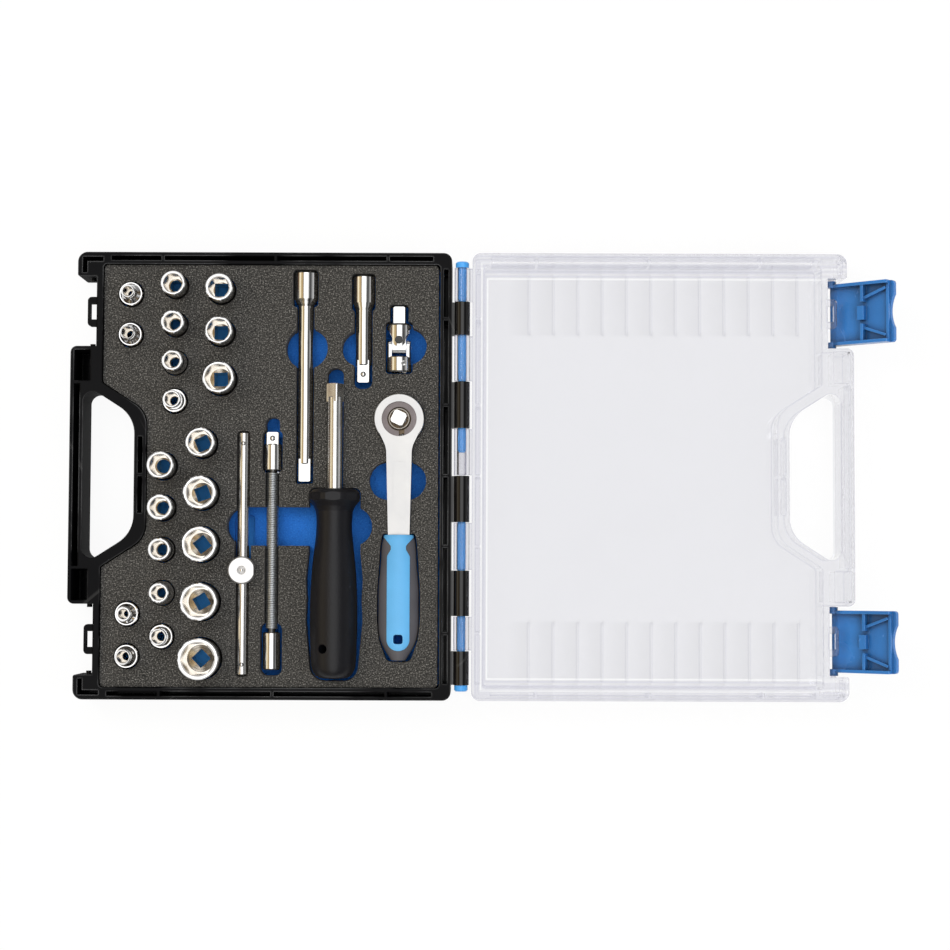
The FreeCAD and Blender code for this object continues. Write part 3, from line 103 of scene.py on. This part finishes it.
class Paint:
    """The nodes of one finish: node() adds a node, sets it up and joins its sockets."""

    def __init__(self, tree):
        self.tree = tree
        tree.nodes.clear()

    def node(self, kind, settings=None, sockets=None, out=0):
        made = self.tree.nodes.new("ShaderNode" + kind)
        for key, value in (settings or {}).items():
            setattr(made, key, value)
        for key, value in (sockets or {}).items():
            if isinstance(value, Value):
                self.tree.links.new(value.socket, made.inputs[key])
            elif isinstance(value, tuple) and made.inputs[key].type == "RGBA":
                made.inputs[key].default_value = (*value, 1)
            else:
                made.inputs[key].default_value = value
        return Value(self, made.outputs[out]) if made.outputs else None

    def math(self, operation, a, b, clamp=False):
        return self.node("Math", {"operation": operation, "use_clamp": clamp}, {0: a, 1: b})

    def mix(self, factor, a, b, blend="MIX"):
        return self.node("Mix", {"data_type": "RGBA", "blend_type": blend},
                         {MIX_FACTOR: factor, MIX_A: a, MIX_B: b}, MIX_RESULT)

    def place(self, middle=(0, 0, 0)):
        """Object coordinates, counted from a middle."""
        here = self.node("TexCoord", out="Object")
        return self.node("Mapping", {"vector_type": "TEXTURE"}, {"Vector": here, "Location": middle})

    def split(self, vector, axes):
        return [self.node("SeparateXYZ", None, {0: vector}, axis) for axis in axes]

    def noise(self, place, scale, detail=2.0, rough=0.5):
        return self.node("TexNoise", None,
                         {"Vector": place, "Scale": scale, "Detail": detail, "Roughness": rough})

    def cells(self, place, scale):
        return self.node("TexVoronoi", None, {"Vector": place, "Scale": scale}, "Distance")

    def ramp(self, value, stops):
        """A colour ramp through stops of a place and a colour or a grey."""
        found = self.node("ValToRGB", None, {"Fac": value})
        marks = found.socket.node.color_ramp.elements
        for i, (at, shade) in enumerate(stops):
            mark = marks[i] if i < len(marks) else marks.new(at)
            mark.position = at
            mark.color = (*shade, 1) if isinstance(shade, tuple) else (shade, shade, shade, 1)
        return found

    def span(self, value, low, high, to_low=0.0, to_high=1.0):
        return self.node("MapRange", {"clamp": True},
                         {"Value": value, "From Min": low, "From Max": high,
                          "To Min": to_low, "To Max": to_high})

    def above(self, value, at, soft):
        """1 above a level, 0 below it, with a soft step between."""
        return self.span(value, at - soft, at + soft)

    def below(self, value, at, soft):
        return self.span(value, at - soft, at + soft, 1, 0)

    def bump(self, height, depth, strength=1.0, normal=None):
        sockets = {"Height": height, "Distance": depth, "Strength": strength}
        if normal is not None:
            sockets["Normal"] = normal
        return self.node("Bump", None, sockets)

    def edges(self, radius, low=0.80, high=0.99):
        """A rounded normal, and 1 close to a corner of the mesh, 0 on open faces."""
        soft = self.node("Bevel", {"samples": 6}, {"Radius": radius})
        true = self.node("NewGeometry", out="True Normal")
        alike = self.node("VectorMath", {"operation": "DOT_PRODUCT"}, {0: soft, 1: true}, "Value")
        return soft, self.span(alike, low, high, 1, 0)

    def surface(self, sockets):
        shader = self.node("BsdfPrincipled", None, sockets)
        self.node("OutputMaterial", None, {"Surface": shader})


def finish(name):
    made = bpy.data.materials.new(name)
    made.use_nodes = True
    return made, Paint(made.node_tree)


def tinted(shade, share, lift=0.0):
    """A colour made darker or paler."""
    return tuple(min(1, share * c + lift) for c in shade)


def streaks(paint, place, along, scale):
    """Fine lines that run along one axis."""
    size = [1, 1, 1]
    size["XYZ".index(along)] = 40
    run = paint.node("Mapping", {"vector_type": "TEXTURE"}, {"Vector": place, "Scale": tuple(size)})
    return paint.noise(run, scale, 2)


def scratches(paint, place, *runs):
    """Sparse hair lines, each run with its direction and scale: 1 on a line, 0 elsewhere."""
    lines = []
    for turn, scale in runs:
        run = paint.node("Mapping", {"vector_type": "TEXTURE"},
                         {"Vector": place, "Rotation": (0, 0, math.radians(turn)), "Scale": (1, 30, 1)})
        lines.append(paint.span(paint.noise(run, scale, 2), 0.70, 0.76))
    return sum(lines[1:], lines[0])


def chrome(name, middle, along, tone, rough, turned=0.6, mouth=None):
    """Plated steel with lathe marks. A socket gives the radii of its mouth's hexagon and face: the face
    is painted grey next to the hexagon and the bore below it duller and a little brown: painted shade."""
    made, paint = finish(name)
    place = paint.place(middle)
    smear = paint.noise(place, 60, 3)
    grain = paint.noise(place, 700, 2)
    rings = paint.node("TexWave", {"wave_type": "RINGS", "rings_direction": along},
                       {"Vector": place, "Scale": 260, "Distortion": 1.5, "Detail": 2}, "Fac")
    shade = paint.mix(smear, (tone - 0.10, tone - 0.10, tone - 0.09), (tone + 0.07, tone + 0.06, tone + 0.04))
    wave = paint.bump(smear, 0.5 * MM, 0.3)
    lathe = paint.bump(rings * 0.7 + grain * 0.3, 0.02 * MM, turned, wave)
    gloss = rough + 0.10 * smear * grain
    if mouth:
        bore, face = mouth
        x, y, z = paint.split(place, "XYZ")
        reach = (x * x + y * y) ** 0.5
        deep = paint.below(z, SOCKET_MOUTH - 0.35 * MM, 0.05 * MM)
        painted_bore_shade = paint.below(reach, bore - 0.05 * MM, 0.05 * MM) * deep
        flats = bore * 0.88
        # Painted shade: the face is painted grey next to the hexagon, for the darker reflection of a lead-in
        # chamfer.
        wear_and_painted_shade = paint.below(reach, flats + (face - flats) * 0.42, 0.2 * MM) * (1 - deep)
        shade = paint.mix(wear_and_painted_shade, shade, paint.mix(smear, (0.16, 0.15, 0.14), (0.40, 0.38, 0.35)))
        # Painted shade: the bore is painted duller and a little brown, for the shade and warm reflections
        # deep in it.
        stains_and_shade_mottle = paint.noise(place, 320, 3)
        shade = paint.mix(painted_bore_shade, shade, paint.mix(stains_and_shade_mottle, (0.56, 0.51, 0.44), (0.90, 0.87, 0.82)))
        gloss = gloss + 0.10 * painted_bore_shade
    paint.surface({"Base Color": shade, "Metallic": 1.0, "Roughness": gloss, "Normal": lathe})
    return made


def steel(name, tone, rough, tint=(1, 1, 1), along="Y"):
    """Brushed steel with faint stains."""
    made, paint = finish(name)
    place = paint.place()
    brushed = streaks(paint, place, along, 2500)
    stains_and_shade_mottle = paint.noise(place, 250, 3)
    paint.surface({"Base Color": paint.mix(stains_and_shade_mottle, tinted(tint, tone * 0.7), tinted(tint, tone * 1.25)),
                   "Metallic": 1.0, "Roughness": rough + 0.15 * (brushed - 0.5),
                   "Normal": paint.bump(brushed, 0.03 * MM, 0.6)})
    return made


def drive_steel(name, shoulder):
    """Bright on the square; the gear below its shoulder is painted dark and a little brassy, as painted
    shade.
    """
    made, paint = finish(name)
    place = paint.place()
    (z,) = paint.split(place, "Z")
    stains_and_shade_mottle = paint.noise(place, 400, 3)
    grain = paint.noise(place, 1500, 2)
    # Painted shade: the gear below the shoulder is painted dark brown for the shade of the hole round the
    # square.
    dark = paint.mix(stains_and_shade_mottle, (0.06, 0.045, 0.03), (0.20, 0.15, 0.10))
    square = paint.above(z, shoulder, 0.2 * MM)
    paint.surface({"Base Color": paint.mix(square, dark, (0.84, 0.83, 0.80)), "Metallic": 1.0,
                   "Roughness": 0.30 + 0.1 * grain, "Normal": paint.bump(grain, 0.03 * MM, 0.5)})
    return made


def foam(name, shade, speck, pit, painted_well_light=None):
    """Fine closed-cell foam: small pale cell walls, a few dark pits and a soft bumpy skin.
    The floors of the deep wells may be painted paler: painted light where they lie in shade."""
    made, paint = finish(name)
    place = paint.place()
    cell = paint.cells(place, 1500)
    fleck = paint.noise(place, 1500, 4, 0.7)
    cloud = paint.noise(place, 60, 3)
    wear_and_painted_shade = paint.mix(paint.span(cloud, 0.3, 0.7), tinted(shade, 0.92), tinted(shade, 1.08))
    pitted = paint.mix(paint.span(cell, 0.55, 0.95), wear_and_painted_shade, pit)
    flecked = paint.mix(paint.span(fleck, 0.52, 0.70), pitted, speck)
    # Painted light: the floors of the wells under the sockets lie in shade and are painted paler and bluer.
    if painted_well_light:
        (z,) = paint.split(place, "Z")
        smooth = paint.mix(fleck, tinted(painted_well_light, 0.8), tinted(painted_well_light, 1.2))
        flecked = paint.mix(paint.below(z, WELL_FLOOR, 0.15 * MM), flecked, smooth)
    skin = paint.bump(fleck * 0.7 + (1 - cell) * 0.3, 0.3 * MM, 0.6)
    paint.surface({"Base Color": flecked, "Roughness": 0.86 + 0.1 * fleck, "Normal": skin,
                   "Specular IOR Level": 0.25, "Sheen Weight": 0.06, "Sheen Roughness": 0.5})
    return made


def moulded(name, shade, rough, grain, grain_depth, coat=0.0, spread=0.15, rounded=0.0, hair=0.0, shine=0.5,
            painted_edge_highlight=0.0, painted_hollow_shade=0.0):
    """Moulded plastic with a fine grain, uneven gloss, hair scratches, painted highlights at its rims and
    painted shade in its hollows.
    """
    made, paint = finish(name)
    place = paint.place()
    cloud = paint.noise(place, 35, 3)
    pebble = paint.noise(place, grain, 2, 0.55)
    tone = paint.mix(paint.span(cloud, 0.3, 0.7), tinted(shade, 1 - spread), tinted(shade, 1 + spread))
    lines = scratches(paint, place, (25, 300), (-50, 260))
    marked = paint.mix(lines * hair, tone, tinted(shade, 1.6, 0.08))
    edge = None
    if rounded:
        edge, near = paint.edges(rounded)
        # Painted highlight: the colour is paler close to the corners of the mesh.
        marked = paint.mix(near * painted_edge_highlight, marked, tinted(shade, 1.5, 0.10))
    if painted_hollow_shade:
        # Painted shade: the colour is darker where ambient occlusion finds the surface hemmed in.
        shut = paint.node("AmbientOcclusion", {"samples": 6}, {"Distance": painted_hollow_shade}, "AO")
        marked = paint.mix(paint.span(shut, 0.35, 0.95), tinted(shade, 0.35), marked)
    paint.surface({"Base Color": marked, "Roughness": rough + 0.12 * (cloud - 0.5) + 0.2 * hair * lines,
                   "Normal": paint.bump(pebble, grain_depth, 0.7, edge),
                   "Coat Weight": coat, "Coat Roughness": 0.12, "Specular IOR Level": shine})
    return made


def shell_black(name):
    """Glossy black moulding with rounded rims, duller on its upright walls."""
    made, paint = finish(name)
    place = paint.place()
    cloud = paint.noise(place, 35, 3)
    pebble = paint.noise(place, 900, 2, 0.55)
    lines = scratches(paint, place, (25, 300), (-50, 260))
    (upright,) = paint.split(paint.node("TexCoord", out="Normal"), "Z")
    steep = paint.below(abs(upright), 0.20, 0.15)
    (x,) = paint.split(place, "X")
    knuckle = paint.above(x, HINGE_X - 4.9 * MM, 0.3 * MM)
    glints = paint.span(paint.noise(place, 28, 3, 0.6), 0.42, 0.58)
    soft, near = paint.edges(1.1 * MM, 0.70, 0.995)
    tone = paint.mix(paint.span(cloud, 0.3, 0.7), (0.0025, 0.0025, 0.003), (0.0045, 0.0045, 0.005))
    gloss = paint.math("ADD", 0.8 * near * (1 - steep) * glints, 0.4 * knuckle, clamp=True)
    paint.surface({"Base Color": paint.mix(0.25 * lines, tone, (0.08, 0.08, 0.08)),
                   "Roughness": 0.10 + 0.08 * cloud + 0.05 * lines + 0.55 * steep,
                   "Normal": paint.bump(pebble, 0.03 * MM, 0.6, soft), "Specular IOR Level": 0.045,
                   "Coat Weight": gloss, "Coat Roughness": 0.08, "Coat IOR": 1.85})
    return made


def clear_plastic(name, shade):
    """Clear moulding: painted shade for two bands of shallow flutes in its floor, slow waves, faint handling
    marks, painted shade and painted highlight lines along its border and painted shade near its corners."""
    made, paint = finish(name)
    place = paint.place()
    x, y = paint.split(place, "XY")
    cloud = paint.noise(place, 18, 3)
    lines = scratches(paint, place, (70, 420), (20, 560), (-35, 480))
    reach = x - (HINGE_X + FLUTES_FROM)
    tooth = paint.math("FRACT", reach * (1 / FLUTE_PITCH), 0)
    side = abs(y)
    band = (paint.span(side, FLUTES_SIDE - 1.5 * MM, FLUTES_SIDE + 0.5 * MM) * paint.above(reach, 0, 0.1 * MM)
            * paint.below(reach, FLUTES_LONG, 0.1 * MM))
    foot = (paint.span(side, FLUTES_SIDE - 2.5 * MM, FLUTES_SIDE)
            * paint.span(side, FLUTES_SIDE, FLUTES_SIDE + 2.5 * MM, 1, 0)
            * paint.span(abs(tooth - 0.02), 0.0, 0.16, 1, 0) * paint.above(reach, 10.5 * MM, 0.5 * MM))
    # Painted shade: each flute is painted darker towards its far side and at its foot.
    shadow = band * paint.span(tooth, 0.1, 1.0) * 0.75 + 0.8 * foot + 0.5 * (cloud - 0.5)
    flat = paint.mix(paint.math("ADD", shadow, 0.0, clamp=True), shade, tinted(shade, 0.90))
    # Painted shade and painted highlights: lavender and white lines along the lid's border.
    for end, flank, half, colour in PAINTED_RIM_LINES:
        step = paint.math("MINIMUM", RIM_END - side - end * MM, x - (HINGE_X + RIM_HINGE + flank * MM))
        line = paint.span(abs(step), 0.4 * half * MM, half * MM, 1, 0)
        flat = paint.mix(line * 0.8, flat, colour)
    # Painted shade: the colour is darker grey-lilac close to the corners of the mesh.
    near = paint.edges(1.2 * MM, 0.72, 0.99)[1]
    paint.surface({"Base Color": paint.mix(0.8 * near, flat, (0.44, 0.44, 0.54)),
                   "Roughness": 0.015 + 0.04 * cloud + 0.08 * lines, "Transmission Weight": 1.0, "IOR": 1.17,
                   "Coat Weight": 0.5 + 0.3 * cloud, "Coat Roughness": 0.03, "Coat IOR": 1.49,
                   "Normal": paint.bump(cloud, 0.4 * MM, 0.3)})
    return made


def soften(node, name):
    """A copy of a soft solid as one closed mesh, with its cut edges rounded over."""
    weld, flat, sharp = 2e-6, math.radians(1), math.radians(40)
    bm = bmesh.new()
    bm.from_mesh(NODES[node].data)
    bmesh.ops.remove_doubles(bm, verts=bm.verts, dist=weld)
    bmesh.ops.dissolve_limit(bm, angle_limit=flat, verts=bm.verts, edges=bm.edges)
    corners = [e for e in bm.edges if e.is_manifold and e.calc_face_angle(0) > sharp]
    bmesh.ops.bevel(bm, geom=corners, offset=FOAM_ROUND, segments=2, profile=0.6, affect="EDGES",
                    clamp_overlap=True)
    bmesh.ops.triangulate(bm, faces=bm.faces)
    bmesh.ops.recalc_face_normals(bm, faces=bm.faces)
    mesh = bpy.data.meshes.new(name)
    bm.to_mesh(mesh)
    bm.free()
    return placed(name, mesh)


def placed(name, data):
    made = bpy.data.objects.new(name, data)
    bpy.context.scene.collection.objects.link(made)
    return made


def winding_tree():
    """A close helix of round wire, laid along Y between two ends."""
    tree = bpy.data.node_groups.new("close_winding", "GeometryNodeTree")
    face = tree.interface
    face.new_socket("Geometry", in_out="INPUT", socket_type="NodeSocketGeometry")
    for name, kind in (("Turns", "Float"), ("Radius", "Float"), ("Length", "Float"), ("Wire", "Float"),
                       ("Start", "Vector"), ("Finish", "Material")):
        face.new_socket(name, in_out="INPUT", socket_type="NodeSocket" + kind)
    face.new_socket("Geometry", in_out="OUTPUT", socket_type="NodeSocketGeometry")

    given, out = tree.nodes.new("NodeGroupInput"), tree.nodes.new("NodeGroupOutput")
    spiral, lay, ring, tube, smooth, coated = (
        tree.nodes.new("GeometryNode" + kind)
        for kind in ("CurveSpiral", "Transform", "CurvePrimitiveCircle", "CurveToMesh", "SetShadeSmooth",
                     "SetMaterial"))
    spiral.inputs["Resolution"].default_value = 20
    lay.inputs["Rotation"].default_value = (math.pi / 2, 0, 0)
    ring.inputs["Resolution"].default_value = 8
    tube.inputs["Fill Caps"].default_value = True
    for start, outlet, end, inlet in (
            (given, "Turns", spiral, "Rotations"), (given, "Radius", spiral, "Start Radius"),
            (given, "Radius", spiral, "End Radius"), (given, "Length", spiral, "Height"),
            (spiral, 0, lay, "Geometry"), (given, "Start", lay, "Translation"),
            (given, "Wire", ring, "Radius"), (lay, 0, tube, "Curve"), (ring, 0, tube, "Profile Curve"),
            (tube, 0, smooth, "Geometry"), (smooth, 0, coated, "Geometry"),
            (given, "Finish", coated, "Material"), (coated, 0, out, 0)):
        tree.links.new(start.outputs[outlet], end.inputs[inlet])
    return tree


def grown(name, tree, **values):
    """An object whose mesh is what a node tree gives for these values."""
    made = placed(name, bpy.data.meshes.new(name))
    modifier = made.modifiers.new("grow", "NODES")
    modifier.node_group = tree
    for item in tree.interface.items_tree:
        if item.in_out == "INPUT" and item.name in values:
            modifier[item.identifier] = values[item.name]
    seen = made.evaluated_get(bpy.context.evaluated_depsgraph_get())
    mesh = bpy.data.meshes.new_from_object(seen)
    made.modifiers.clear()
    made.data = mesh
    mesh.name = name
    return made


def coat(material, *names):
    for name in names:
        data = NODES[name].data
        data.materials.clear()
        data.materials.append(material)


def middle_of(name):
    low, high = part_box(name)
    return (low + high) / 2


def mouth_of(name):
    """A socket's radius just outside its hexagon's corners, and the radius of its face, from the points at
    its mouth."""
    data = NODES[name].data
    middle = middle_of(name)
    top = max(v.co.z for v in data.vertices)
    reach = [math.hypot(v.co.x - middle.x, v.co.y - middle.y)
             for v in data.vertices if v.co.z > top - 0.02 * MM]
    return min(reach) * 1.13 + 0.2 * MM, max(reach)


def dress_case():
    coat(shell_black("case_black"), "base_shell")
    coat(clear_plastic("case_clear", (0.80, 0.80, 0.83)), "lid_shell")
    coat(moulded("latch_blue", (0.022, 0.175, 0.52), rough=0.26, grain=700, grain_depth=0.06 * MM, coat=0.1,
                 spread=0.12, rounded=0.5 * MM, hair=0.2, painted_edge_highlight=0.6, painted_hollow_shade=6 * MM),
         "latch_upper", "latch_lower")
    coat(moulded("pin_blue", (0.05, 0.30, 0.72), rough=0.30, grain=700, grain_depth=0.06 * MM, coat=0.1),
         "hinge_pin_upper", "hinge_pin_lower")
    top = soften("foam_top_layer", "foam_black_layer")
    top.data.materials.append(foam("foam_black", shade=(0.034, 0.033, 0.031), speck=(0.30, 0.29, 0.27),
                                   pit=(0.010, 0.010, 0.010)))
    under = soften("foam_bottom_layer", "foam_blue_layer")
    under.data.materials.append(foam("foam_blue", shade=(0.018, 0.150, 0.57), speck=(0.045, 0.24, 0.72),
                                     pit=(0.014, 0.115, 0.48), painted_well_light=(0.06, 0.34, 1.00)))
    for piece, node, slot in ((top, "foam_top_layer", "foam_black"),
                              (under, "foam_bottom_layer", "foam_blue")):
        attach(piece, "case_base")
        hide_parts(node)


def dress_sockets():
    for name in NODES:
        if name.startswith("socket_"):
            coat(chrome("chrome_" + name, middle_of(name), "Z", 0.80, 0.08, mouth=mouth_of(name)), name)


def dress_tools():
    for name in ("extension_long", "extension_short", "flex_drive_end", "flex_socket_end", "joint_drive_fork",
                 "joint_socket_fork"):
        coat(chrome("chrome_" + name, middle_of(name), "Y", 0.80, 0.09), name)
    for name in ("bar_rod", "spinner_shank"):
        coat(chrome("chrome_" + name, middle_of(name), "Y", 0.78, 0.19), name)
    coat(chrome("chrome_bar_slider", middle_of("bar_slider"), "Z", 0.72, 0.34, turned=0.3), "bar_slider")
    coat(chrome("chrome_ratchet", middle_of("ratchet_drive_gear"), "Z", 0.54, 0.32, turned=0.3),
         "ratchet_body")
    shoulder = middle_of("ratchet_body").z + 5.6 * MM
    coat(drive_steel("drive_steel", shoulder), "ratchet_drive_gear")
    coat(steel("ring_steel", 0.15, 0.38, tint=(1.15, 1.0, 1.0)), "ratchet_retaining_ring")
    coat(steel("inner_steel", 0.14, 0.4), "ratchet_pawl", "ratchet_reverse_lever", "flex_core")
    coat(steel("pin_steel", 0.75, 0.22, along="X"), "joint_block", "joint_side_pin")
    coat(steel("cross_pin_steel", 0.05, 0.35), "joint_cross_pin")
    balls = [n for n in NODES if n.endswith(("_ball", "_balls"))]
    coat(chrome("ball_steel", (0, 0, 0), "Z", 0.78, 0.08, turned=0.1), *balls)
    coat(moulded("spinner_black", (0.005, 0.005, 0.007), rough=0.40, grain=1100, grain_depth=0.12 * MM,
                 spread=0.2, shine=0.32), "spinner_grip")
    coat(moulded("grip_blue", (0.105, 0.39, 0.72), rough=0.45, grain=1300, grain_depth=0.10 * MM, spread=0.10,
                 rounded=0.6 * MM, painted_edge_highlight=0.5), "ratchet_grip_core")
    coat(moulded("grip_grey", (0.085, 0.083, 0.093), rough=0.55, grain=1200, grain_depth=0.12 * MM,
                 rounded=0.3 * MM), "ratchet_grip_sleeve")


def wind_flex_shaft():
    low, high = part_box("flex_winding")
    wire = 0.42 * MM
    outer = (high.z - low.z) / 2
    length = high.y - low.y - 2 * wire
    middle = (low + high) / 2
    coil = grown("flex_shaft_winding", winding_tree(), Turns=length / (2 * wire), Radius=outer - wire,
                 Length=length, Wire=wire, Start=(middle.x, high.y - wire, middle.z),
                 Finish=steel("flex_winding_steel", 0.58, 0.42, tint=(0.96, 1.0, 1.04)))
    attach(coil, "flexible_extension")
    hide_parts("flex_winding")


def set_camera():
    """Almost straight above the open case, a little towards its lower edge."""
    aim = Vector((0.099246, 0.000325, 0.022))
    tilt, roll, away = math.radians(3.0), math.radians(0.2), 0.9693
    back = Vector((0, -math.sin(tilt), math.cos(tilt)))
    right = Vector((1, 0, 0))
    up = back.cross(right)
    lens = bpy.data.cameras.new("camera")
    lens.sensor_width = 36
    lens.lens = 78.43
    lens.clip_start = 0.05
    eye = placed("camera", lens)
    across = math.cos(roll) * right + math.sin(roll) * up
    rise = math.cos(roll) * up - math.sin(roll) * right
    turn = Matrix((across, rise, back)).transposed().to_4x4()
    eye.matrix_world = Matrix.Translation(aim + away * back) @ turn
    bpy.context.scene.camera = eye


def lay_floor():
    """A white sweep that shows plain white to the camera and takes a faint shadow."""
    reach, low = 6, -0.4 * MM
    mesh = bpy.data.meshes.new("floor")
    mesh.from_pydata([(-reach, -reach, low), (reach, -reach, low), (reach, reach, low), (-reach, reach, low)],
                     [], [(0, 1, 2, 3)])
    floor = placed("floor", mesh)
    made, paint = finish("floor_white")
    camera, glossy, passed = (paint.node("LightPath", out=out)
                              for out in ("Is Camera Ray", "Is Glossy Ray", "Is Transmission Ray"))
    seen = paint.math("ADD", camera + glossy, passed, clamp=True)
    matt = paint.node("BsdfDiffuse", None, {"Color": (0.90, 0.90, 0.90)})
    glow = paint.node("Emission", None, {"Color": (1, 1, 1), "Strength": 1.0})
    both = paint.node("MixShader", None, {0: seen * 0.93, 1: matt, 2: glow})
    paint.node("OutputMaterial", None, {"Surface": both})
    mesh.materials.append(made)


def light_tent():
    """The world as a light tent: a bright roof, warm panels on the left and dark gaps between."""
    world = bpy.data.worlds.new("studio")
    bpy.context.scene.world = world
    world.use_nodes = True
    paint = Paint(world.node_tree)
    x, y, z = paint.split(paint.node("TexCoord", out="Generated"), "XYZ")
    cream, tan, brown, dim = (0.62, 0.55, 0.40), (0.30, 0.215, 0.105), (0.04, 0.02, 0.01), (0.13, 0.11, 0.09)
    left_to_right = ((-110, brown), (-86, brown), (-72, (0.16, 0.11, 0.07)), (-62, cream), (-54, cream),
                     (-44, tan), (-32, tan), (-24, dim), (-15, 0.95), (18, 0.95), (26, 0.36), (34, 0.07),
                     (44, 0.03), (54, 0.08), (68, 0.24), (88, 0.40), (104, 0.34))
    end_to_end = ((-90, 0.45), (-60, 0.12), (-50, 1.0), (50, 1.0), (60, 0.12), (90, 0.45))
    sweep = 220

    def panels(axis, stops):
        """Shades by the angle from straight up, in degrees towards one axis."""
        turn = paint.math("ARCTAN2", axis, z) * (1 / math.radians(sweep)) + 0.5
        return paint.ramp(turn, [(angle / sweep + 0.5, shade) for angle, shade in stops])

    tent = paint.mix(1.0, panels(x, left_to_right), panels(y, end_to_end), "MULTIPLY")
    lit = paint.node("Background", None, {"Color": tent, "Strength": 2.0})
    plain = paint.node("Background", None, {"Color": (1, 1, 1), "Strength": 1.0})
    seen = paint.math("ADD", paint.node("LightPath", out="Is Camera Ray"),
                      paint.node("LightPath", out="Is Transmission Ray"), clamp=True)
    paint.node("OutputWorld", None, {"Surface": paint.node("MixShader", None, {0: seen, 1: lit, 2: plain})})


def hang_lamps():
    """Two soft lamps that stay out of the reflections."""
    aim = Vector((0.05, 0, 0))
    for name, spot, wide, long, power in (("key", (-0.60, 0.45, 1.00), 0.35, 0.8, 5.5),
                                          ("fill", (0.95, -0.30, 0.85), 0.30, 0.8, 4.2)):
        lamp = bpy.data.lights.new(name, "AREA")
        lamp.shape = "RECTANGLE"
        lamp.size = wide
        lamp.size_y = long
        lamp.energy = power
        held = placed(name, lamp)
        held.visible_glossy = False
        turn = (aim - Vector(spot)).to_track_quat("-Z", "Y").to_matrix().to_4x4()
        held.matrix_world = Matrix.Translation(spot) @ turn


bpy.context.scene.view_settings.view_transform = "Standard"
set_camera()
lay_floor()
light_tent()
hang_lamps()
dress_case()
dress_sockets()
dress_tools()
wind_flex_shaft()
